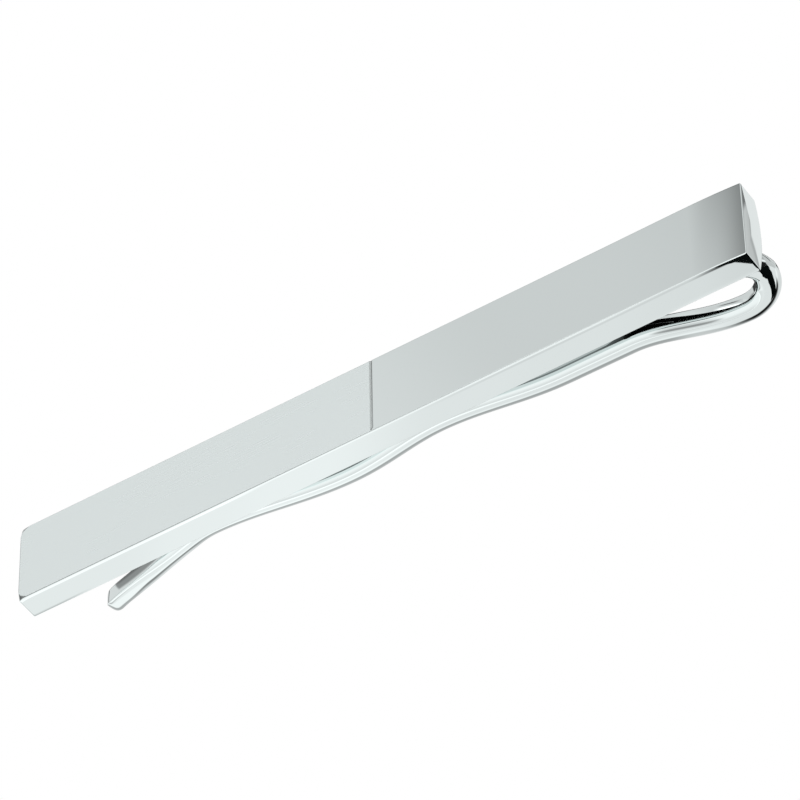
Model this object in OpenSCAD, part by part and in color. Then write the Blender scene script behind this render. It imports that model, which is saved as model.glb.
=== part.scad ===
// Tie clip: a solid metal bar with a flat front face, and a wave-formed spring wire
// soldered to its back. Millimetres. The front face looks up, along +Z, and X runs
// along the bar towards the end that hides the spring's loop. The origin lies under
// the middle of the bar, level with the lowest point of the loop.

/* [Bar] */
// Length of the bar from end to end
bar_length = 50; // [42:0.5:62]
// Width of the bar
bar_width = 6; // [4.5:0.1:9]
// Depth of the bar's straight edge walls
edge_depth = 1.7; // [1.2:0.05:2.4]
// How far the middle of the back bulges past the edge walls
back_crown = 0.45; // [0.2:0.05:0.6]
// Corner radius at the free end, seen from the front
free_corner_r = 0.5; // [0.2:0.05:1]
// Corner radius at the loop end, seen from the front
loop_corner_r = 0.12; // [0.06:0.02:0.4]
// Rounding of the long edges round the front face
face_edge_r = 0.08; // [0.04:0.01:0.15]
// Rounding of the long edges round the back
back_edge_r = 0.15; // [0.08:0.01:0.25]
// Length over which the front face rolls off at the loop end
roll_length = 3.5; // [2:0.1:6]
// How far the front face has dropped at the loop end
roll_drop = 0.12; // [0.05:0.01:0.25]

/* [Engraved line] */
// Width of the fine line that is cut across the front face
line_width = 0.16; // [0.1:0.01:0.3]
// Depth of the line
line_depth = 0.1; // [0.05:0.01:0.2]
// Place of the line along the bar, from the middle towards the loop end
line_offset = 0; // [-10:0.5:10]
// Uncut land between the line's end and the near edge
line_land = 0.17; // [0.1:0.01:1]

/* [Spring wire] */
// Diameter of the round wire at the loop
loop_wire_d = 1.6; // [1.3:0.05:1.8]
// Diameter of the wire at the tip, where it is drawn thinner
tip_wire_d = 1.25; // [1.05:0.05:1.5]
// Width of the flat that is pressed along the wire's inner side
flat_width = 0.7; // [0.4:0.05:0.9]
// Width of the foot, which is pressed wide and thin
foot_width = 2; // [1.6:0.05:2.4]
// Thickness of the pressed foot
foot_thickness = 1.05; // [0.8:0.05:1.2]

/* [Spring loop] */
// Length of the straight foot that is soldered to the back
foot_length = 7.4; // [5:0.1:7.4]
// Distance from the bar's end back to the outside of the loop
loop_inset = 0.3; // [0:0.1:2]
// Inside radius of the bend under the bar
loop_top_r = 0.95; // [0.8:0.05:1.3]
// Inside radius of the bend at the far side of the loop
loop_side_r = 1.15; // [0.8:0.05:1.4]
// Inside radius of the loop's floor
loop_floor_r = 1.5; // [1.4:0.05:2]
// Turn from the loop's side to the start of its floor
floor_turn = 45; // [35:1:55]

/* [Spring arm] */
// Distance from the bar's free end back to the tip
tip_inset = 2.45; // [1:0.05:6]
// Length of the straight lead-in behind the tip
tip_length = 7.85; // [5:0.05:8.5]
// Slope of the lead-in away from the bar
tip_angle = 15.2; // [12:0.1:20]
// Inside radius of the crest that grips the tie
crest_r = 6.2; // [5:0.1:10]
// Gap between the bar's back and the gripping crest
crest_gap = 0.8; // [0.7:0.05:1.4]
// Gap between the bar's back and the middle crest
middle_gap = 1; // [0.8:0.05:1.4]
// Gap between the bar's back and the trough between the crests
trough_gap = 1.7; // [1.5:0.05:2.2]
// Gap between the bar's back and the shoulder beside the foot
shoulder_gap = 1.8; // [1.6:0.05:2.1]

/* [Solder] */
// Thickness of the solder between the back and the foot
solder_thickness = 0.05; // [0.03:0.01:0.1]
// Size of the solder fillet beside the foot
solder_fillet = 0.3; // [0.15:0.05:0.4]

/* [Hidden] */

// Places along the arm, as shares of the run from the loop's floor to the gripping crest
shoulder_start_share = 0.199;
shoulder_end_share = 0.321;
middle_crest_share = 0.553;
trough_share = 0.742;
// How far the tip's rounding narrows its width and its thickness
tip_round_width_share = 0.8;
tip_round_thickness_share = 0.45;
// Exponent that squares up the foot's pressed oval, as a share of a plain oval's 1
foot_square_share = 0.5;

// Counts of the steps along each stretch and round the section
arc_steps = 6;
back_steps = 14;
top_steps = 9;
side_steps = 5;
wave_steps = 12;
crest_steps = 4;
round_steps = 24;
edge_steps = 3;
round_angles = [18, 36, 52, 66, 78];

// How far a cutter runs past the surface that it cuts
overrun = bar_width / 10;

// Thickness that is left between the pressed flat and the wire's far side
function pressed_thickness(d, flat) = (d + sqrt(d * d - flat * flat)) / 2;
loop_thickness = pressed_thickness(loop_wire_d, flat_width);
tip_thickness = pressed_thickness(tip_wire_d, flat_width);

// Heights, worked out from the loop's floor up to the front face
loop_inner_height = loop_top_r + loop_floor_r - (loop_floor_r - loop_side_r) * sin(floor_turn);
foot_under_z = loop_thickness + loop_inner_height;
foot_top_z = foot_under_z + foot_thickness;
back_z = foot_top_z + solder_thickness;
edge_z = back_z + back_crown;
face_z = edge_z + edge_depth;

// Centres of the loop's three bends, as [x, z]
loop_inner_x = bar_length / 2 - loop_inset - loop_thickness;
top_centre = [loop_inner_x - loop_top_r, foot_under_z - loop_top_r];
side_centre = [loop_inner_x - loop_side_r, top_centre.y];
floor_reach = loop_floor_r - loop_side_r;
floor_centre = [side_centre.x - floor_reach * cos(floor_turn), side_centre.y + floor_reach * sin(floor_turn)];

// Places along the arm
tip_x = -bar_length / 2 + tip_inset;
crest_x = tip_x + tip_length * cos(tip_angle) + crest_r * sin(tip_angle);
arm_run = floor_centre.x - crest_x;
foot_end_x = top_centre.x - foot_length;

// The bar's back is an arc through both edge walls, which meets their rounding at round_turn
back_r = (bar_width * bar_width / 4 + back_crown * back_crown) / (2 * back_crown);
back_centre_z = back_z + back_r;
round_y = bar_width / 2 - back_edge_r;
round_turn = -acos(round_y / (back_r - back_edge_r));
round_z = back_centre_z + (back_r - back_edge_r) * sin(round_turn);

// Points of an arc as [x, y]
function arc(centre, r, from, to, steps) = [
    for (k = [0 : steps])
        let (a = from + (to - from) * k / steps)
        [centre.x + r * cos(a), centre.y + r * sin(a)]
];

// Cross-section of the bar as [y, z]
function bar_section() = concat(
    arc([0, back_centre_z], back_r, -180 - round_turn, round_turn, back_steps),
    arc([round_y, round_z], back_edge_r, round_turn, 0, edge_steps),
    arc([bar_width / 2 - face_edge_r, face_z - face_edge_r], face_edge_r, 0, 90, edge_steps),
    arc([face_edge_r - bar_width / 2, face_z - face_edge_r], face_edge_r, 90, 180, edge_steps),
    arc([-round_y, round_z], back_edge_r, 180, 180 - round_turn, edge_steps)
);

// Plan of the bar as [x, y], with the small corners at the loop end
function bar_plan() = let (x = bar_length / 2, y = bar_width / 2, f = free_corner_r, l = loop_corner_r) concat(
    arc([x - l, l - y], l, -90, 0, edge_steps),
    arc([x - l, y - l], l, 0, 90, edge_steps),
    arc([f - x, y - f], f, 90, 180, arc_steps),
    arc([f - x, f - y], f, 180, 270, arc_steps)
);

// Side view of the bar as [x, z], where the front face rolls off at the loop end
roll_r = (roll_length * roll_length + roll_drop * roll_drop) / (2 * roll_drop);
roll_angle = asin((roll_length - face_edge_r) / roll_r);
function bar_side() = let (x = bar_length / 2, low = back_z - overrun) concat(
    [[-x, low], [x, low]],
    [[x, face_z - roll_drop - face_edge_r]],
    arc([x - roll_length, face_z - roll_r], roll_r, 90 - roll_angle, 90, arc_steps),
    arc([face_edge_r - x, face_z - face_edge_r], face_edge_r, 90, 180, edge_steps)
);

// Cross-section of the wire as [y, n], where n rises from its pressed flat to its round outer side.
// A square share of 1 gives a circle or an oval, and a smaller one squares it up.
function wire_section(w, t, flat, square = 1) =
    let (
        turn = asin(pow(flat / w, 1 / square)),
        top = pow(cos(turn), square)
    )
    [
        for (k = [0 : round_steps])
            let (
                a = turn + (360 - 2 * turn) * k / round_steps,
                y = sign(sin(a)) * pow(abs(sin(a)), square),
                n = sign(cos(a)) * pow(abs(cos(a)), square)
            )
            [w / 2 * y, t * (top - n) / (1 + top)]
    ];

// The wire's pressed flat in side view, as [x, z, heading], where a heading of 0 runs along +X
function bend(centre, r, from, to, steps) = [
    for (k = [0 : steps])
        let (a = from + (to - from) * k / steps)
        [centre.x + r * cos(a), centre.y + r * sin(a), a + (to > from ? 90 : -90)]
];
function half_wave(p, q) = [
    for (k = [1 : wave_steps])
        let (u = k / wave_steps)
        [
            p.x + (q.x - p.x) * u,
            p.y + (q.y - p.y) * (1 - cos(180 * u)) / 2,
            atan2((q.y - p.y) * PI / 2 * sin(180 * u), q.x - p.x)
        ]
];
function loop_path() = concat(
    bend(top_centre, loop_top_r, 90, 0, top_steps),
    [for (p = bend(side_centre, loop_side_r, 0, -floor_turn, side_steps)) if (p.z < -90) p],
    [for (p = bend(floor_centre, loop_floor_r, -floor_turn, -90, side_steps)) if (p.z < -90 - floor_turn) p]
);
function station(share, gap) = [floor_centre.x - arm_run * share, back_z - gap];
stations = [
    [floor_centre.x, loop_thickness],
    station(shoulder_start_share, shoulder_gap),
    station(shoulder_end_share, shoulder_gap),
    station(middle_crest_share, middle_gap),
    station(trough_share, trough_gap),
    station(1, crest_gap)
];
crest_centre = [crest_x, back_z - crest_gap - crest_r];
lead_start = [crest_x - crest_r * sin(tip_angle), crest_centre.y + crest_r * cos(tip_angle)];
function along_lead(s) = [lead_start.x - s * cos(tip_angle), lead_start.y - s * sin(tip_angle), 180 + tip_angle];
function wave_path() = concat(
    [[stations[0].x, stations[0].y, 180]],
    [for (i = [1 : len(stations) - 1]) each half_wave(stations[i - 1], stations[i])],
    [for (p = bend(crest_centre, crest_r, 90, 90 + tip_angle, crest_steps)) if (p.z > 180) p]
);

// One ring of the wire at a point of its path
function ring(p, section, lift = 0) = [
    for (s = section)
        [p.x - (s.y + lift) * sin(p.z), s.x, p.y + (s.y + lift) * cos(p.z)]
];
function tapered(x) = (floor_centre.x - x) / (floor_centre.x - tip_x);
function mixed(a, b, share) = a + (b - a) * share;
function arm_ring(p) =
    let (d = mixed(loop_wire_d, tip_wire_d, tapered(p.x)))
    ring(p, wire_section(d, pressed_thickness(d, flat_width), flat_width));

// Rings round the loop, where the pressed foot swells to the full wire along the top bend
function loop_rings() = [
    for (p = loop_path())
        let (
            risen = min(-p.z / 90, 1),
            swollen = risen * risen,
            w = mixed(foot_width, loop_wire_d, swollen),
            t = mixed(foot_thickness, loop_thickness, swollen)
        )
        ring(p, wire_section(w, t, flat_width, mixed(foot_square_share, 1, risen)))
];
// Rings along the arm, which thins towards its rounded tip
tip_round = tip_wire_d / 2;
function tip_ring(a) =
    let (
        p = along_lead(tip_length - tip_round + tip_round * sin(a)),
        narrowed = mixed(1, cos(a), tip_round_width_share),
        thinned = mixed(1, cos(a), tip_round_thickness_share),
        t = tip_thickness * thinned
    )
    ring(p, wire_section(tip_wire_d * narrowed, t, flat_width * narrowed), (tip_thickness - t) / 2);
function arm_rings() = concat(
    [for (p = wave_path()) arm_ring(p)],
    [for (k = [1 : crest_steps]) arm_ring(along_lead((tip_length - tip_round) * k / crest_steps))],
    [for (a = round_angles) tip_ring(a)]
);

// A closed skin over a row of rings, with flat ends
module skin(rings) {
    m = len(rings[0]);
    n = len(rings);
    polyhedron(
        points = [for (r = rings) each r],
        faces = concat(
            [for (i = [0 : n - 2], j = [0 : m - 1]) [i * m + j, (i + 1) * m + j, i * m + (j + 1) % m]],
            [for (i = [0 : n - 2], j = [0 : m - 1]) [i * m + (j + 1) % m, (i + 1) * m + j, (i + 1) * m + (j + 1) % m]],
            [for (j = [1 : m - 2]) [0, j, j + 1]],
            [for (j = [1 : m - 2]) [(n - 1) * m, (n - 1) * m + j + 1, (n - 1) * m + j]]
        )
    );
}

// Extrudes a [y, z] outline along X
module along_x(from, to) {
    translate([from, 0, 0])
    rotate([90, 0, 90])
    linear_extrude(to - from)
    children();
}

// Extrudes an [x, z] outline along Y, about the middle
module along_y(from, to) {
    translate([0, to, 0])
    rotate([90, 0, 0])
    linear_extrude(to - from)
    children();
}

module front_bar() {
    color("gainsboro")
    difference() {
        intersection() {
            along_x(-bar_length / 2 - overrun, bar_length / 2 + overrun) polygon(bar_section());
            along_y(-bar_width / 2 - overrun, bar_width / 2 + overrun) polygon(bar_side());
            translate([0, 0, back_z - overrun])
            linear_extrude(face_z - back_z + 2 * overrun)
            polygon(bar_plan());
        }
        along_y(line_land - bar_width / 2, bar_width / 2 + overrun)
        polygon([
            [line_offset - line_width / 2, face_z],
            [line_offset, face_z - line_depth],
            [line_offset + line_width / 2, face_z],
            [line_offset + line_width / 2, face_z + overrun],
            [line_offset - line_width / 2, face_z + overrun]
        ]);
    }
}

// Cross-section of the foot, pressed nearly flat above and below
module foot_outline() {
    section = wire_section(foot_width, foot_thickness, flat_width, foot_square_share);
    polygon([for (s = section) [s.x, s.y + foot_under_z]]);
}

module solder_fillet() {
    half = foot_width / 2;
    color("silver")
    along_x(foot_end_x, top_centre.x)
    difference() {
        polygon(concat(
            [[-half - solder_fillet, edge_z], [-half - solder_fillet, foot_top_z]],
            arc([-half - solder_fillet, foot_top_z - solder_fillet], solder_fillet, 90, 0, arc_steps),
            arc([half + solder_fillet, foot_top_z - solder_fillet], solder_fillet, 180, 90, arc_steps),
            [[half + solder_fillet, edge_z]]
        ));
        foot_outline();
        polygon(bar_section());
    }
}

module spring_foot() {
    color("silver")
    along_x(foot_end_x, top_centre.x)
    foot_outline();
}

module spring_loop() {
    color("lightgray")
    skin(loop_rings());
}

module spring_arm() {
    color("silver")
    skin(arm_rings());
}

front_bar();
solder_fillet();
spring_foot();
spring_loop();
spring_arm();
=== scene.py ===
"""A tie clip in bright white metal, half of its face satin, on a pale floor.

The bar and the spring wire are swept meshes with the real clip's rounded edges.
X runs along the bar towards the spring's loop, and the front face looks up.
"""
import bpy
from math import acos, asin, atan2, copysign, cos, degrees, pi, radians, sin, sqrt
from mathutils import Matrix, Vector


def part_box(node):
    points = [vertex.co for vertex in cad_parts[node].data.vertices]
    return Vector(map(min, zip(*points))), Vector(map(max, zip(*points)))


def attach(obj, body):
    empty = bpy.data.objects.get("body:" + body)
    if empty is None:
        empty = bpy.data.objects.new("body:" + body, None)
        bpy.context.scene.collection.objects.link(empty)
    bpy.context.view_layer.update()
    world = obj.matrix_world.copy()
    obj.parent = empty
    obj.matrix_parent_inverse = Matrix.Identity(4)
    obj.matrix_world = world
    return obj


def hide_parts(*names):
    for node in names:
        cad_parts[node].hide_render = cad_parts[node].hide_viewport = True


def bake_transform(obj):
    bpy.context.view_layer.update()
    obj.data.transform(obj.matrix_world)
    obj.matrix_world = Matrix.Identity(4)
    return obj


MM = 0.001

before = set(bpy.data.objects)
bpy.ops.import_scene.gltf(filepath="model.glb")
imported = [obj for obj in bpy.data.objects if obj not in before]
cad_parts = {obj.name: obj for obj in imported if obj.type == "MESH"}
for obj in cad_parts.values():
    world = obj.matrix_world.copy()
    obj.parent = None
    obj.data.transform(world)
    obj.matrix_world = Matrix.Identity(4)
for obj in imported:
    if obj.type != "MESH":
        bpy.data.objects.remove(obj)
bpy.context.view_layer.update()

# Sizes of the bar, in millimetres; its length, width and heights come from the frame
BACK_CROWN = 0.45
# At the free end the face's corners are rounder than the walls', and a small facet falls between
FREE_CORNER_R = 0.8
FREE_WALL_R = 0.12
FACET_FALL = 0.25
LOOP_CORNER_R = 0.12
FACE_EDGE_R = 0.08
LOOP_FACE_EDGE_R = 0.035
BACK_EDGE_R = 0.15
END_EDGE_R = 0.06
# Rows of points this close to the face's edges keep its shading flat
FACE_MARGIN = 0.04
ROLL_LENGTH = 3.5
ROLL_DROP = 0.12
LINE_X = 0.0
LINE_HALF_WIDTH = 0.12
LINE_DEPTH = 0.03
LINE_LAND = 0.17

# Sizes of the spring wire, in millimetres
LOOP_WIRE_D = 1.6
TIP_WIRE_D = 1.25
FLAT_WIDTH = 0.7
FLAT_CROWN = 0.012
FOOT_WIDTH = 2.0
FOOT_THICKNESS = 1.05
# Exponent that squares up the foot's pressed oval, where a plain oval has 1
FOOT_SQUARE = 0.5
FOOT_LENGTH = 7.4
LOOP_INSET = 0.3
TOP_R = 0.95
SIDE_R = 1.15
FLOOR_R = 1.5
FLOOR_TURN = 45
TIP_INSET = 2.45
TIP_LENGTH = 7.85
TIP_ANGLE = 15.2
CREST_R = 6.2
SOLDER_THICKNESS = 0.05
SOLDER_FILLET = 0.3
# Stations of the arm's waves: share of the run to the gripping crest, and gap under the back
WAVES = [(0.199, 1.8), (0.321, 1.8), (0.553, 1.0), (0.742, 1.7), (1.0, 0.8)]
# How far the tip's rounding narrows its width and its thickness
TIP_NARROWING = 0.92
TIP_THINNING = 0.6
# The last of the flat falls away a little towards the tip
TIP_DROOP_LENGTH = 1.5
TIP_DROOP = 0.12
# Near the tip the flat is pressed wider
TIP_FLAT_WIDTH = 1.1
TIP_SQUARE = 0.75
TIP_PRESS_LENGTH = 6.0
TIP_PRESS_RUN = 3.0
# Length of the short straight ends where the loop and the arm meet
SEAM_LENGTH = 0.02

# Sizes of the stage, in millimetres
FLOOR_REACH = 3000
FLOOR_Z = -0.02
# How far the cards of painted shade in the throat stand off the metal
SHADE_CARD_GAP = 0.03

low, high = (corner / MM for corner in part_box("front_bar"))
HALF_LENGTH = high.x
HALF_WIDTH = high.y
FACE_Z = high.z
BACK_Z = low.z
BACK_R = (HALF_WIDTH**2 + BACK_CROWN**2) / (2 * BACK_CROWN)
BACK_CENTRE_Z = BACK_Z + BACK_R


def arc(centre, radius, start, end, steps):
    """Points of an arc in a plane, in degrees, ends included."""
    turn = [radians(start + (end - start) * k / steps) for k in range(steps + 1)]
    return [(centre[0] + radius * cos(a), centre[1] + radius * sin(a)) for a in turn]


def mix(a, b, share):
    return a + (b - a) * share


def smooth(share):
    share = min(max(share, 0.0), 1.0)
    return share * share * (3 - 2 * share)


def skin(name, rings, closed_start=True, closed_end=True):
    """A smooth mesh over rings of points in millimetres, with a fan over each closed end."""
    count = len(rings[0])
    points = [Vector(p) * MM for ring in rings for p in ring]
    faces = []
    for i in range(len(rings) - 1):
        for j in range(count):
            a, b = i * count + j, i * count + (j + 1) % count
            faces.append((a, b, b + count, a + count))
    for at_start, closed in ((True, closed_start), (False, closed_end)):
        if not closed:
            continue
        first = 0 if at_start else (len(rings) - 1) * count
        ring = points[first:first + count]
        points.append(sum(ring, Vector()) / count)
        for j in range(count):
            a, b = first + j, first + (j + 1) % count
            faces.append((b, a, len(points) - 1) if at_start else (a, b, len(points) - 1))
    mesh = bpy.data.meshes.new(name)
    mesh.from_pydata(points, [], faces)
    mesh.polygons.foreach_set("use_smooth", [True] * len(mesh.polygons))
    mesh.update()
    piece = bpy.data.objects.new(name, mesh)
    bpy.context.scene.collection.objects.link(piece)
    return piece


def weigh_normals(piece):
    """Keeps broad faces flat in their shading, so that only the roundings bend a reflection."""
    weighted = piece.modifiers.new("weighted", "WEIGHTED_NORMAL")
    weighted.mode = "FACE_AREA"
    weighted.weight = 100
    weighted.thresh = 0.0
    bpy.context.view_layer.objects.active = piece
    with bpy.context.temp_override(object=piece, active_object=piece, selected_objects=[piece]):
        bpy.ops.object.modifier_apply(modifier="weighted")


# The bar

def half_width_at(x, free_corner_r):
    """Half of the bar's width at x, drawn in round the corners."""
    for end, radius in ((-HALF_LENGTH, free_corner_r), (HALF_LENGTH, LOOP_CORNER_R)):
        inside = radius - abs(x - end)
        if inside > 0:
            return HALF_WIDTH - radius + sqrt(max(radius**2 - inside**2, 0))
    return HALF_WIDTH


def end_inset_at(x):
    """How far the rounded end edges draw the face and the back in at x."""
    inside = END_EDGE_R - (HALF_LENGTH - abs(x))
    return END_EDGE_R - sqrt(END_EDGE_R**2 - inside**2) if inside > 0 else 0.0


def face_drop_at(x):
    """How far the front face has rolled off at x, near the loop end."""
    past = max(x - (HALF_LENGTH - ROLL_LENGTH), 0)
    radius = (ROLL_LENGTH**2 + ROLL_DROP**2) / (2 * ROLL_DROP)
    return radius - sqrt(radius**2 - past**2)


def line_cut_at(x, y):
    """Depth of the engraved line at a point of the front face."""
    across = abs(x - LINE_X) / LINE_HALF_WIDTH
    if across >= 1:
        return 0.0
    run_in = smooth((y + HALF_WIDTH - LINE_LAND) / LINE_LAND * 2)
    return LINE_DEPTH * run_in * (1 + cos(pi * across)) / 2


def back_z_at(y):
    return BACK_CENTRE_Z - sqrt(BACK_R**2 - y**2)


def bar_ring(x):
    """One section of the bar, drawn in where x is close to an end."""
    width, inset = half_width_at(x, FREE_WALL_R), end_inset_at(x)
    top = FACE_Z - face_drop_at(x) - inset
    r = mix(FACE_EDGE_R, LOOP_FACE_EDGE_R, smooth((x - HALF_LENGTH + 10) / 6))
    b = BACK_EDGE_R
    flat = half_width_at(x, FREE_CORNER_R) - r
    facet = width - flat - r
    deep = r + FACET_FALL * facet
    face = [-flat, -flat + FACE_MARGIN] + [-flat + LINE_LAND * k for k in (1, 1.25, 1.5)]
    face += [mix(-flat + 2 * LINE_LAND, flat - LINE_LAND, k / 8) for k in range(9)]
    face += [flat - FACE_MARGIN, flat]
    # The back's rounding touches both the wall and the back's own arc
    round_y = width - b
    turn = acos(round_y / (BACK_R - b))
    round_z = BACK_CENTRE_Z - (BACK_R - b) * sin(turn) + inset
    touch = degrees(turn)
    near_edge = arc((-round_y, round_z), b, 180, 180 + touch, 6)
    far_edge = arc((round_y, round_z), b, -touch, 0, 6)
    reach = BACK_R * cos(turn)
    back = [-reach * cos(pi * k / 24) for k in range(1, 24)]
    ring = [(y, top) for y in reversed(face)]
    # The last step of the edge's quarter round leads on to the face, or over the facet
    last = mix(75, 90, facet / (FREE_CORNER_R - FREE_WALL_R))
    quarter = arc((width - r, top - deep), r, 0, last, 5)
    ring += [(-y, z) for y, z in reversed(quarter)]
    ring += [(-width, mix(top - deep, round_z, k / 6)) for k in range(1, 6)]
    ring += near_edge
    ring += [(y, back_z_at(y) + inset) for y in back]
    ring += far_edge
    ring += [(width, mix(round_z, top - deep, k / 6)) for k in range(1, 6)]
    ring += quarter
    return [(x, y, z - (line_cut_at(x, y) if z > top - deep else 0)) for y, z in ring]


def rounding_stations(radius, step):
    """Where sections follow a rounding at an end of the bar, one for each step in degrees."""
    return [HALF_LENGTH - radius + radius * sin(radians(a)) for a in range(0, 91, step)]


def bar_stations():
    """Where the bar's sections stand along X, closest at the roundings and the engraved line."""
    rounded = rounding_stations(END_EDGE_R, 15)
    free = rounding_stations(FREE_CORNER_R, 9) + rounding_stations(FREE_WALL_R, 10) + rounded
    loop = rounding_stations(LOOP_CORNER_R, 10) + rounded
    line = [LINE_X + LINE_HALF_WIDTH * k / 8 for k in range(-9, 10)]
    roll = [HALF_LENGTH - ROLL_LENGTH * k / 24 for k in range(1, 25)]
    start, end = -HALF_LENGTH + FREE_CORNER_R, HALF_LENGTH - ROLL_LENGTH
    body = [mix(start, end, k / 30) for k in range(1, 30)]
    body = [x for x in body if abs(x - LINE_X) > 2 * LINE_HALF_WIDTH]
    stations = sorted([-x for x in free] + line + body + roll + loop)
    kept = [stations[0]]
    for x in stations[1:]:
        if x - kept[-1] > 0.002:
            kept.append(x)
    kept[-1] = HALF_LENGTH
    return kept


def make_bar():
    bar = skin("bar_body", [bar_ring(x) for x in bar_stations()])
    weigh_normals(bar)
    return bar


# The spring wire

def pressed_thickness(wire_d):
    """What the pressed flat leaves of a wire's diameter."""
    return (wire_d + sqrt(wire_d**2 - FLAT_WIDTH**2)) / 2


FOOT_TOP = BACK_Z - SOLDER_THICKNESS
FOOT_UNDER = FOOT_TOP - FOOT_THICKNESS
LOOP_THICKNESS = pressed_thickness(LOOP_WIRE_D)
TIP_THICKNESS = pressed_thickness(TIP_WIRE_D)
INNER_X = HALF_LENGTH - LOOP_INSET - LOOP_THICKNESS
TOP_CENTRE = (INNER_X - TOP_R, FOOT_UNDER - TOP_R)
SIDE_CENTRE = (INNER_X - SIDE_R, TOP_CENTRE[1])
FLOOR_CENTRE = (
    SIDE_CENTRE[0] - (FLOOR_R - SIDE_R) * cos(radians(FLOOR_TURN)),
    SIDE_CENTRE[1] + (FLOOR_R - SIDE_R) * sin(radians(FLOOR_TURN)),
)
TIP_X = -HALF_LENGTH + TIP_INSET
CREST_X = TIP_X + TIP_LENGTH * cos(radians(TIP_ANGLE)) + CREST_R * sin(radians(TIP_ANGLE))
FOOT_END_X = TOP_CENTRE[0] - FOOT_LENGTH


def bend(centre, radius, start, end, steps):
    """Points along a bend of the wire's flat, each with its heading in degrees."""
    side = 90 if end > start else -90
    turns = [start + (end - start) * k / steps for k in range(steps + 1)]
    return [
        (centre[0] + radius * cos(radians(a)), centre[1] + radius * sin(radians(a)), a + side)
        for a in turns
    ]


def half_wave(p, q, steps=24):
    points = []
    for k in range(1, steps + 1):
        u = k / steps
        rise = (q[1] - p[1]) * pi / 2 * sin(pi * u)
        heading = degrees(atan2(rise, q[0] - p[0]))
        points.append((mix(p[0], q[0], u), mix(p[1], q[1], (1 - cos(pi * u)) / 2), heading))
    return points


def wire_section(width, thick, flat, square=1.0):
    """Section of the wire as (y, n), where n rises from its pressed flat to its round side."""
    turn = asin((flat / width) ** (1 / square))
    top = cos(turn) ** square
    shares = (-0.46, -0.3, -0.15, 0.0, 0.15, 0.3, 0.46)
    section = [(flat * share, -FLAT_CROWN * (1 - (2 * share)**2)) for share in shares]
    for k in range(81):
        a = mix(turn, 2 * pi - turn, k / 80)
        across, depth = sin(a), cos(a)
        y = copysign(abs(across) ** square, across)
        n = copysign(abs(depth) ** square, depth)
        section.append((width / 2 * y, thick * (top - n) / (1 + top)))
    return section


def wire_ring(place, section, lift=0.0):
    x, z, heading = place
    s, c = sin(radians(heading)), cos(radians(heading))
    return [(x - (n + lift) * s, y, z + (n + lift) * c) for y, n in section]


def foot_rings():
    """The pressed foot, whose cut end has a small rounding."""
    rings = []
    for turn in range(0, 90, 15):
        inset = END_EDGE_R * (1 - sin(radians(turn)))
        x = FOOT_END_X + END_EDGE_R * (1 - cos(radians(turn)))
        section = wire_section(
            FOOT_WIDTH - 2 * inset, FOOT_THICKNESS - 2 * inset, FLAT_WIDTH, FOOT_SQUARE
        )
        rings.append(wire_ring((x, FOOT_UNDER, 0), section, inset))
    section = wire_section(FOOT_WIDTH, FOOT_THICKNESS, FLAT_WIDTH, FOOT_SQUARE)
    start = FOOT_END_X + END_EDGE_R
    for k in range(9):
        rings.append(wire_ring((mix(start, TOP_CENTRE[0], k / 8), FOOT_UNDER, 0), section))
    return rings


def loop_rings():
    """The loop, where the pressed foot swells to the full wire along the top bend."""
    path = bend(TOP_CENTRE, TOP_R, 90, 0, 48)[1:]
    path += bend(SIDE_CENTRE, SIDE_R, 0, -FLOOR_TURN, 28)[1:]
    path += bend(FLOOR_CENTRE, FLOOR_R, -FLOOR_TURN, -90, 32)[1:-1]
    floor = (FLOOR_CENTRE[0], FLOOR_CENTRE[1] - FLOOR_R, -180)
    path += [(floor[0] + SEAM_LENGTH, floor[1], floor[2]), floor]
    rings = []
    for place in path:
        risen = min(-place[2] / 90, 1)
        width = mix(FOOT_WIDTH, LOOP_WIRE_D, risen**2)
        thick = mix(FOOT_THICKNESS, LOOP_THICKNESS, risen**2)
        section = wire_section(width, thick, FLAT_WIDTH, mix(FOOT_SQUARE, 1, risen))
        rings.append(wire_ring(place, section))
    return rings


def tip_droop(s):
    """How far the flat falls away towards the tip, s along the straight run to it."""
    past = max(s - TIP_LENGTH + TIP_DROOP_LENGTH, 0) / TIP_DROOP_LENGTH
    return TIP_DROOP * past**2


def arm_ring(place, lift=0.0):
    share = (FLOOR_CENTRE[0] - place[0]) / (FLOOR_CENTRE[0] - TIP_X)
    wire_d = mix(LOOP_WIRE_D, TIP_WIRE_D, share)
    pressed = smooth((TIP_X + TIP_PRESS_LENGTH - place[0]) / TIP_PRESS_RUN)
    flat, square = mix(FLAT_WIDTH, TIP_FLAT_WIDTH, pressed), mix(1, TIP_SQUARE, pressed)
    return wire_ring(place, wire_section(wire_d, pressed_thickness(wire_d), flat, square), lift)


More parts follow.
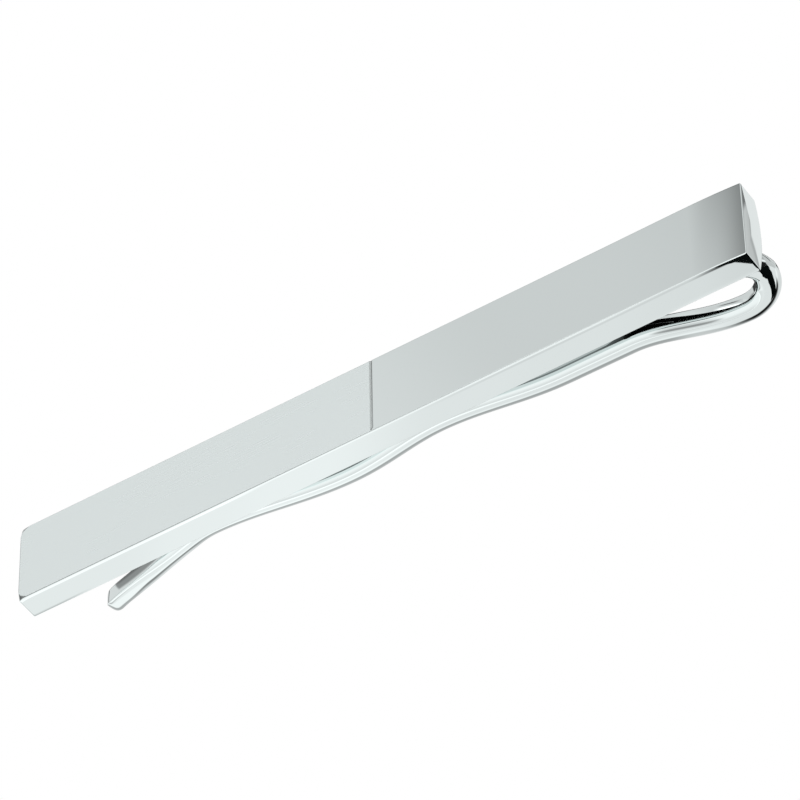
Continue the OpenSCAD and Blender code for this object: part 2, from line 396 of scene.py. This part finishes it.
def arm_rings():
    """The wave-formed arm, which thins towards its rounded tip."""
    run = FLOOR_CENTRE[0] - CREST_X
    start = (FLOOR_CENTRE[0], FLOOR_CENTRE[1] - FLOOR_R)
    stations = [start] + [(FLOOR_CENTRE[0] - run * share, BACK_Z - gap) for share, gap in WAVES]
    path = [(*start, 180), (start[0] - SEAM_LENGTH, start[1], 180)]
    for p, q in zip(stations, stations[1:]):
        path += half_wave(p, q)
    crest = (CREST_X, stations[-1][1] - CREST_R)
    path += bend(crest, CREST_R, 90, 90 + TIP_ANGLE, 8)[1:]
    lead = path[-1]
    slope = radians(TIP_ANGLE)

    def along(s):
        return (lead[0] - s * cos(slope), lead[1] - s * sin(slope), 180 + TIP_ANGLE)

    blunt = TIP_WIRE_D / 2
    path += [along((TIP_LENGTH - TIP_DROOP_LENGTH) * k / 8) for k in range(1, 9)]
    rings = [arm_ring(place) for place in path]
    for k in range(1, 7):
        s = mix(TIP_LENGTH - TIP_DROOP_LENGTH, TIP_LENGTH - blunt, k / 6)
        rings.append(arm_ring(along(s), tip_droop(s)))
    for a in range(6, 90, 6):
        narrow = mix(1, cos(radians(a)), TIP_NARROWING)
        thick = TIP_THICKNESS * mix(1, cos(radians(a)), TIP_THINNING)
        s = TIP_LENGTH - blunt + blunt * sin(radians(a))
        rings.append(wire_ring(
            along(s),
            wire_section(TIP_WIRE_D * narrow, thick, TIP_FLAT_WIDTH * narrow, TIP_SQUARE),
            (TIP_THICKNESS - thick) / 2 + tip_droop(s),
        ))
    return rings


def make_solder():
    """The solder under the foot, with its fillet along both sides and round the foot's end."""
    half = FOOT_WIDTH / 2
    f = SOLDER_FILLET
    rings = []
    for x, spread in [(FOOT_END_X - f * (1 - k / 5), k / 5) for k in range(6)] + [
        (mix(FOOT_END_X, TOP_CENTRE[0], k / 20), 1.0) for k in range(1, 21)
    ]:
        reach = f * (0.55 + 0.45 * spread)
        fillet = arc((half + reach, FOOT_TOP - reach), reach, 180, 90, 6)
        wall = [(y, mix(back_z_at(y), z, sin(pi / 2 * spread))) for y, z in fillet]
        outer = [(y, back_z_at(y)) for y in (half + reach, half / 2, 0, -half / 2, -half - reach)]
        ring = wall + outer + [(-y, z) for y, z in reversed(wall)]
        ring += [(-half / 2, FOOT_TOP), (0, FOOT_TOP), (half / 2, FOOT_TOP)]
        rings.append([(x, y, z) for y, z in ring])
    return skin("solder_bead", rings)


# Materials

class Link:
    """A socket's value in a node tree, with the arithmetic of Math nodes."""

    def __init__(self, finish, socket):
        self.finish, self.socket = finish, socket

    def math(self, operation, *values):
        return self.finish.node("ShaderNodeMath", {"operation": operation}, values)

    def __add__(self, other):
        return self.math("ADD", self, other)

    __radd__ = __add__

    def __sub__(self, other):
        return self.math("SUBTRACT", self, other)

    def __rsub__(self, other):
        return self.math("SUBTRACT", other, self)

    def __mul__(self, other):
        return self.math("MULTIPLY", self, other)

    __rmul__ = __mul__

    def __truediv__(self, other):
        return self.math("DIVIDE", self, other)

    def __abs__(self):
        return self.math("ABSOLUTE", self)

    def rise(self, start, end):
        """0 before start, 1 after end, and smooth between; falls where start is the larger."""
        settings = {"interpolation_type": "SMOOTHSTEP"}
        return self.finish.node("ShaderNodeMapRange", settings, (self, start, end, 0.0, 1.0))


class Finish:
    """The nodes of a material or the world, added one at a time."""

    def __init__(self, owner):
        owner.use_nodes = True
        self.owner, self.tree = owner, owner.node_tree
        self.tree.nodes.clear()

    def node(self, kind, settings=(), inputs=(), output=0):
        """Adds a node: settings first, then its inputs by place or by name; returns one output."""
        made = self.tree.nodes.new(kind)
        for name, value in dict(settings).items():
            setattr(made, name, value)
        pairs = inputs.items() if isinstance(inputs, dict) else enumerate(inputs)
        for key, value in pairs:
            if isinstance(value, Link):
                self.tree.links.new(value.socket, made.inputs[key])
            else:
                made.inputs[key].default_value = value
        return Link(self, made.outputs[output]) if made.outputs else made

    def parts(self, vector):
        """The X, Y and Z of a vector."""
        return [self.node("ShaderNodeSeparateXYZ", {}, (vector,), axis) for axis in "XYZ"]

    def lit(self, colour):
        """A colour that shows as it is written, whatever the light."""
        return self.node("ShaderNodeEmission", {}, {"Color": colour, "Strength": 1.0})

    def one_sided(self, shader):
        """The shader on the front, and clear from behind."""
        clear = self.node("ShaderNodeBsdfTransparent")
        behind = self.node("ShaderNodeNewGeometry", output="Backfacing")
        return self.node("ShaderNodeMixShader", {}, (behind, shader, clear))

    def surface(self, shader):
        self.node("ShaderNodeOutputMaterial", {}, {"Surface": shader})


def metal(name, colour, roughness, grain):
    """White metal: colour, roughness and a grain (scale vector, roughness swing, bump strength)."""
    material = bpy.data.materials.new(name)
    finish = Finish(material)
    scale, swing, strength = grain
    place = finish.node("ShaderNodeTexCoord", output="Object")
    stretched = finish.node("ShaderNodeVectorMath", {"operation": "MULTIPLY"}, (place, scale))
    lines, broad = (
        finish.node("ShaderNodeTexNoise", {}, {"Vector": vector, "Scale": size, "Detail": detail})
        for vector, size, detail in ((stretched, 1.0, 4.0), (place, 260.0, 2.0))
    )
    worn = (lines - 0.5) * swing + (broad - 0.5) * swing * 0.6
    normal = finish.node(
        "ShaderNodeBump", {}, {"Strength": strength, "Distance": 0.00002, "Height": lines}
    )
    shader = finish.node("ShaderNodeBsdfPrincipled", {}, {
        "Base Color": (*colour, 1), "Metallic": 1.0, "Roughness": worn + roughness,
        "Normal": normal,
    })
    finish.surface(shader)
    return material


def dress():
    """The bar, the solder and the spring in their metals; the bar, the solder and the spring's arm
    each on its body.
    """
    polished = metal("polished_plate", (0.82, 0.88, 0.875), 0.025, ((300, 300, 300), 0.01, 0.015))
    satin = metal("satin_plate", (0.86, 0.925, 0.92), 0.28, ((220, 9000, 9000), 0.04, 0.02))
    # The engraved line's left slope gets a darker metal: painted shade in the groove
    cut = metal("cut_line_painted_shade", (0.5, 0.535, 0.53), 0.3, ((300, 300, 300), 0.05, 0.015))
    spring = metal("spring_plate", (0.82, 0.88, 0.875), 0.03, ((300, 2500, 2500), 0.01, 0.012))
    solder = metal("plated_solder", (0.74, 0.76, 0.76), 0.22, ((900, 900, 900), 0.1, 0.5))

    bar = make_bar()
    for plate in (polished, satin, cut):
        bar.data.materials.append(plate)
    for face in bar.data.polygons:
        centre = face.center / MM
        if centre.z < FACE_Z - 1.1 * LINE_DEPTH or abs(centre.y) > HALF_WIDTH - LINE_LAND / 2:
            continue
        if centre.x < LINE_X - LINE_HALF_WIDTH and face.normal.z > 0.999:
            face.material_index = 1
        # Faces on the groove's left slope take the darker metal, painted shade
        elif centre.z < FACE_Z - LINE_DEPTH / 10 and centre.x < LINE_X + LINE_HALF_WIDTH / 4:
            face.material_index = 2
    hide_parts("front_bar")
    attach(bar, "bar")

    bead = make_solder()
    bead.data.materials.append(solder)
    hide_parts("solder_fillet")
    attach(bead, "bar")

    loop = skin("spring_bend", foot_rings() + loop_rings(), closed_end=False)
    loop.data.materials.append(spring)
    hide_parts("spring_foot", "spring_loop")
    TOP_CENTRE[0] * MM
    TOP_CENTRE[0] * MM
    LOOP_THICKNESS * MM
    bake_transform(loop)

    arm = skin("spring_wave", arm_rings(), closed_start=False)
    arm.data.materials.append(spring)
    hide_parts("spring_arm")
    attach(arm, "arm")


# The stage

def stage_piece(name, points, faces, finish):
    """A piece of the stage over points in millimetres."""
    mesh = bpy.data.meshes.new(name)
    mesh.from_pydata([Vector(p) * MM for p in points], [], faces)
    mesh.materials.append(finish.owner)
    piece = bpy.data.objects.new(name, mesh)
    bpy.context.scene.collection.objects.link(piece)
    return piece


def hidden_card(name, points, faces, finish):
    """A piece of the stage that only the polished metal shows."""
    piece = stage_piece(name, points, faces, finish)
    piece.visible_camera = False
    piece.visible_diffuse = False
    piece.visible_transmission = False
    piece.visible_shadow = False
    return piece


def painted_paper_tone(x, y):
    """Painted reflection of white paper under the clip: painted dimmer to the right, and its front
    edge painted into the dark.
    """
    paper = 0.935 + 0.045 * x.rise(-23, -18) + 0.02 * x.rise(-16, -11) - 0.12 * x.rise(-8, 1)
    paper = paper - 0.02 * x.rise(3, 9) - 0.04 * x.rise(11, 18) - 0.05 * x.rise(18, 21.5)
    paper = paper + 0.09 * x.rise(12, 20) * y.rise(-10, -7)
    # Painted highlights along the front edge, a painted crease of shade and painted dark to the
    # right
    left_edge = 0.27 * y.rise(-12.2, -13.0) * x.rise(-12, -16)
    middle_edge = 0.2 * y.rise(-13.7, -14.2) * x.rise(-16, -12) * x.rise(13, 8)
    crease_painted_shade = 0.12 * y.rise(-11.6, -12.3) * y.rise(-13.9, -13.3) * x.rise(-3, 5)
    right_painted_shade = 0.97 * x.rise(17.0, 19.7) * y.rise(-11.5, -12.7)
    return paper * (1 + left_edge + middle_edge) * (1 - crease_painted_shade) * (1 - right_painted_shade)


def painted_contact_shadow(x, y):
    """A painted shadow of the clip, a thin line along the floor that deepens under the loop."""
    left, right = x.rise(-20.2, -21.6), x.rise(17.5, 20.5)
    tipward = x.rise(-15.2, -16.6) * x.rise(-21.2, -20)
    start = 0.9 * left + 1.15 * right - 0.35 * tipward - 2.5
    end = 0.7 * left + 0.65 * right - 0.35 * tipward - 1.8
    beyond = y.rise(-0.85 - 1.15 * tipward, 0.1 - 0.5 * tipward - 0.45 * right)
    beyond = beyond * (0.25 + 0.39 * tipward + 0.65 * right)
    depth = 0.57 + 0.2 * tipward - 0.22 * x.rise(16, 18) + 0.64 * x.rise(19.5, 21.8)
    return depth * y.rise(start, end) * (1 - beyond) * x.rise(-27, -25) * x.rise(27, 25)


def painted_floor_tone(x, y):
    """Painted reflection tones that the polished metal shows of the floor."""
    tone = painted_paper_tone(x, y) * (1 - painted_contact_shadow(x, y))
    # A painted highlight band in front of the clip, left of the loop
    bright_front = 0.14 * y.rise(-4.2, -3.2) * x.rise(20.5, 17.5)
    # Painted shade past the free end, and painted dark under and beside the loop
    left_front = 0.4 * x.rise(-24, -26) * y.rise(-9.2, -8) * y.rise(-2.5, -4)
    left_back = 0.85 * x.rise(-24, -27) * y.rise(5, 9)
    under_loop = 0.93 * x.rise(13.5, 15.5) * x.rise(22.6, 21.8) * y.rise(0.9, 1.7) * y.rise(12, 8)
    by_loop = 0.97 * x.rise(21.5, 22) * (x + 0.3 * y).rise(28.2, 26.2)
    by_loop = by_loop * y.rise(2.4, 3.2) * y.rise(14, 11)
    tone = tone * (1 + bright_front) * (1 - left_front) * (1 - left_back)
    tone = tone * (1 - under_loop) * (1 - by_loop)
    # A painted grey band past the loop's end, seen in the end face, and a painted bright diagonal
    # line
    painted_end_shade = x.rise(28.15, 28.35) * (y - 0.2 * x).rise(-4.5, -4)
    dim = 0.5 - 0.17 * x.rise(28.3, 28.65) - 0.05 * x.rise(28.7, 29.3)
    dim = dim + 0.5 * y.rise(9.6, 10.6) * x.rise(36, 33)
    bright_line_painted = abs(y - 1.16 * x + 31.1).rise(1.0, 0.2) * x.rise(24.8, 25.6)
    return tone * (1 - painted_end_shade * dim) * (1 + 0.18 * bright_line_painted)


def make_floor():
    """A pale floor for the metal and the light, which glows to glossy rays with painted reflections
    and painted shadow. The camera looks through it to the white world.
    """
    finish = Finish(bpy.data.materials.new("pale_floor"))
    x, y, _ = finish.parts(finish.node("ShaderNodeTexCoord", output="Object"))
    # Painted light: to glossy rays the floor glows with the painted reflection tones
    gloss = finish.lit(painted_floor_tone(x / MM, y / MM))
    matt = finish.node("ShaderNodeBsdfDiffuse", {}, {"Color": (0.9, 0.9, 0.9, 1)})
    clear = finish.node("ShaderNodeBsdfTransparent")
    seen = finish.node("ShaderNodeLightPath", output="Is Camera Ray")
    mirrored = finish.node("ShaderNodeLightPath", output="Is Glossy Ray")
    both = finish.node("ShaderNodeMixShader", {}, (mirrored, matt, gloss))
    finish.surface(finish.node("ShaderNodeMixShader", {}, (seen, both, clear)))
    corners = [(-1, -1), (1, -1), (1, 1), (-1, 1)]
    points = [(x * FLOOR_REACH, y * FLOOR_REACH, FLOOR_Z) for x, y in corners]
    stage_piece("floor", points, [(0, 1, 2, 3)], finish)


def make_painted_dark_reflection():
    """A black card on the floor that only the metal shows: a painted dark reflection to the right
    of the clip.
    """
    finish = Finish(bpy.data.materials.new("black_card"))
    finish.surface(finish.node("ShaderNodeBsdfDiffuse", {}, {"Color": (0.003, 0.004, 0.004, 1)}))
    outline = [
        (23.3, -1.3), (23.55, -1.8), (23.65, -2.6), (23.65, -3.7), (24.75, -4.7), (28.4, -8.4),
        (26.0, -9.6), (23.5, -10.0), (21.8, -10.4), (21.0, -11.0), (20.5, -11.35), (20.1, -12.0),
        (19.4, -12.8), (18.6, -14.5), (17.5, -20), (19, -40), (19, -900), (900, -900), (900, 350),
        (66, 8.7), (45, 2.2), (37, -1.4), (34, -2.2), (30.2, -2.5), (28, -2.4), (26.3, -2.15),
        (25.0, -1.55), (24.3, -1.1),
    ]
    hidden_card("painted_dark_reflection", [(x, y, 0) for x, y in outline], [range(len(outline))], finish)


def make_throat_shade_cards():
    """Cards of painted shade in the throat, which only the metal shows: grey along the bar's back,
    and black by the loop and on the foot.
    """
    finish = Finish(bpy.data.materials.new("throat_painted_shade"))
    x, _, _ = finish.parts(finish.node("ShaderNodeTexCoord", output="Object"))
    grey = 0.19 * (x / MM).rise(15, 11) + 0.001
    tint = finish.node("ShaderNodeCombineColor", {}, (grey, grey * 1.1, grey * 1.1))
    # The cards glow at these dark tones whatever the light: painted shade
    finish.surface(finish.one_sided(finish.lit(tint)))
    narrow = [(y, BACK_Z - SHADE_CARD_GAP) for y in (-1.0, 1.0)]
    back = [(y, BACK_Z - SHADE_CARD_GAP) for y in (-1.2, 2.7)]
    half = FOOT_WIDTH / 2 + SHADE_CARD_GAP
    foot = [
        (-half - SOLDER_FILLET - 0.05, BACK_Z - 0.04), (-half - SHADE_CARD_GAP, FOOT_UNDER + 0.4),
        (-0.75 * half, FOOT_UNDER), (-0.5 * half, FOOT_UNDER - SHADE_CARD_GAP),
    ]
    foot += [(-y, z) for y, z in reversed(foot)]
    for name, rows in (
        ("back_painted_shade", ((-16, narrow), (12, narrow), (15, back), (HALF_LENGTH, back))),
        ("foot_painted_shade", ((FOOT_END_X - 0.4, foot), (TOP_CENTRE[0], foot))),
    ):
        points = [(x, y, z) for x, profile in rows for y, z in profile]
        count = len(rows[0][1])
        faces = [
            (i + j, i + j + 1, i + j + count + 1, i + j + count)
            for i in range(0, count * (len(rows) - 1), count) for j in range(count - 1)
        ]
        hidden_card(name, points, faces, finish)


def make_painted_loop_reflection():
    """A glowing card behind the loop that only the wire's inner side shows: a painted reflection.
    """
    finish = Finish(bpy.data.materials.new("painted_loop_reflection"))
    x, _, z = finish.parts(finish.node("ShaderNodeTexCoord", output="Object"))
    x, z = x / MM, z / MM
    # Painted paler to the right, and painted dark along the card's foot
    pale = 0.22 + 0.5 * x.rise(17.7, 18.5) + 0.1 * x.rise(20.3, 21.5)
    finish.surface(finish.lit(pale * (1 - 0.93 * z.rise(1.4, 0.9))))
    corners = [(13, 4.2, 0), (22.4, 4.2, 0), (22.4, 4.2, 4.9), (13, 4.2, 4.9)]
    hidden_card("painted_loop_reflection", corners, [(0, 1, 2, 3)], finish)


def make_lamp(name, place, size, power):
    lamp = bpy.data.lights.new(name, "AREA")
    lamp.size = size
    lamp.energy = power
    holder = bpy.data.objects.new(name, lamp)
    holder.location = place
    holder.rotation_euler = (-Vector(place)).to_track_quat("-Z", "Y").to_euler()
    holder.visible_glossy = False
    bpy.context.scene.collection.objects.link(holder)


def make_world():
    """A pale tent round the clip: a dim back wall, dark openings and a dark room to the right."""
    world = bpy.data.worlds.new("tent")
    bpy.context.scene.world = world
    finish = Finish(world)
    x, y, z = finish.parts(finish.node("ShaderNodeTexCoord", output="Generated"))
    around = finish.node("ShaderNodeMath", {"operation": "ARCTAN2"}, (y, x)) * (180 / pi)
    up = finish.node("ShaderNodeMath", {"operation": "ARCSINE"}, (z,)) * (180 / pi)
    back_wall = around.rise(70, 90) * around.rise(165, 150) * up.rise(56, 44)
    left_wall = around.rise(115, 117.2)
    low_left = around.rise(125, 128) * (around - 0.25 * up).rise(129.6, 128.8)
    low_left = low_left * up.rise(6, 9) * up.rise(26, 22) * (0.62 + 0.16 * around.rise(132, 130.9))
    glow = around.rise(88, 96) * around.rise(119, 110) * up.rise(42, 46) * up.rise(80, 65)
    corner = around.rise(136, 142) * (1 - around.rise(170, 176)) * up.rise(14, 20) * up.rise(56, 50)
    shifted = around + 1.7 * up.rise(36.6, 38.6)
    opening = around.rise(92, 98) * shifted.rise(114, 105.2) * up.rise(2, 8) * up.rise(41.5, 39.5)
    far_right = around.rise(37, 44) * around.rise(98, 88) * up.rise(33, 27)
    behind = around.rise(128, 140) + around.rise(-134, -146) * (1 - around.rise(0, 1))
    upper_left = behind * up.rise(50, 56) * up.rise(70, 66)
    front = around.rise(-140, -112) * around.rise(10, -20) * up.rise(34, 6)
    side = around.rise(-96, -82) * around.rise(10, -20) * up.rise(56, 36)
    streak = around.rise(-99, -92) * around.rise(-84, -88) * up.rise(8, 18) * up.rise(38, 26)
    room = around.rise(-84, -76) * around.rise(34, 24) * up.rise(14, 9)
    tone = 1.04 * (1 - back_wall * (0.33 - 0.08 * left_wall)) * (1 + 1.3 * glow) * (1 - low_left)
    tone = tone * (1 - 0.76 * opening) * (1 - 0.8 * upper_left) * (1 - 0.8 * corner)
    tone = tone * (1 - 0.55 * far_right)
    tone = tone * (1 - 0.2 * front) * (1 - 0.35 * side) * (1 - 0.6 * streak) * (1 - 0.985 * room)
    shade = finish.node("ShaderNodeBackground", {}, {"Color": tone, "Strength": 1.0})
    seen = finish.node("ShaderNodeLightPath", output="Is Camera Ray")
    white = finish.node("ShaderNodeBackground", {}, {"Color": (1, 1, 1, 1), "Strength": 1.0})
    both = finish.node("ShaderNodeMixShader", {}, (seen, shade, white))
    finish.node("ShaderNodeOutputWorld", {}, {"Surface": both})


def make_camera():
    """The camera that fits the bar's six visible corners in the photograph."""
    azimuth, elevation, roll = radians(26.50), radians(35.64), radians(-41.88)
    distance, across, upward = 337.02, 1.676, -0.274
    focal_pixels, frame_pixels = 5812.7, 800
    back = Vector((sin(azimuth) * cos(elevation), -cos(azimuth) * cos(elevation), sin(elevation)))
    level = Vector((cos(azimuth), sin(azimuth), 0))
    upright = back.cross(level)
    right = level * cos(roll) + upright * sin(roll)
    up = upright * cos(roll) - level * sin(roll)
    place = right * across + up * upward + back * distance + Vector((0, 0, FACE_Z))
    lens = bpy.data.cameras.new("camera")
    lens.sensor_width = 36
    lens.lens = lens.sensor_width * focal_pixels / frame_pixels
    lens.clip_start, lens.clip_end = 0.01, 20
    camera = bpy.data.objects.new("camera", lens)
    turned = Matrix((right, up, back)).transposed().to_4x4()
    camera.matrix_world = Matrix.Translation(place * MM) @ turned
    bpy.context.scene.collection.objects.link(camera)
    bpy.context.scene.camera = camera


dress()
make_floor()
make_painted_dark_reflection()
make_throat_shade_cards()
make_painted_loop_reflection()
make_world()
make_lamp("key", (-0.5, 0.9, 1.2), 1.0, 8)
make_camera()
bpy.context.scene.view_settings.view_transform = "Standard"
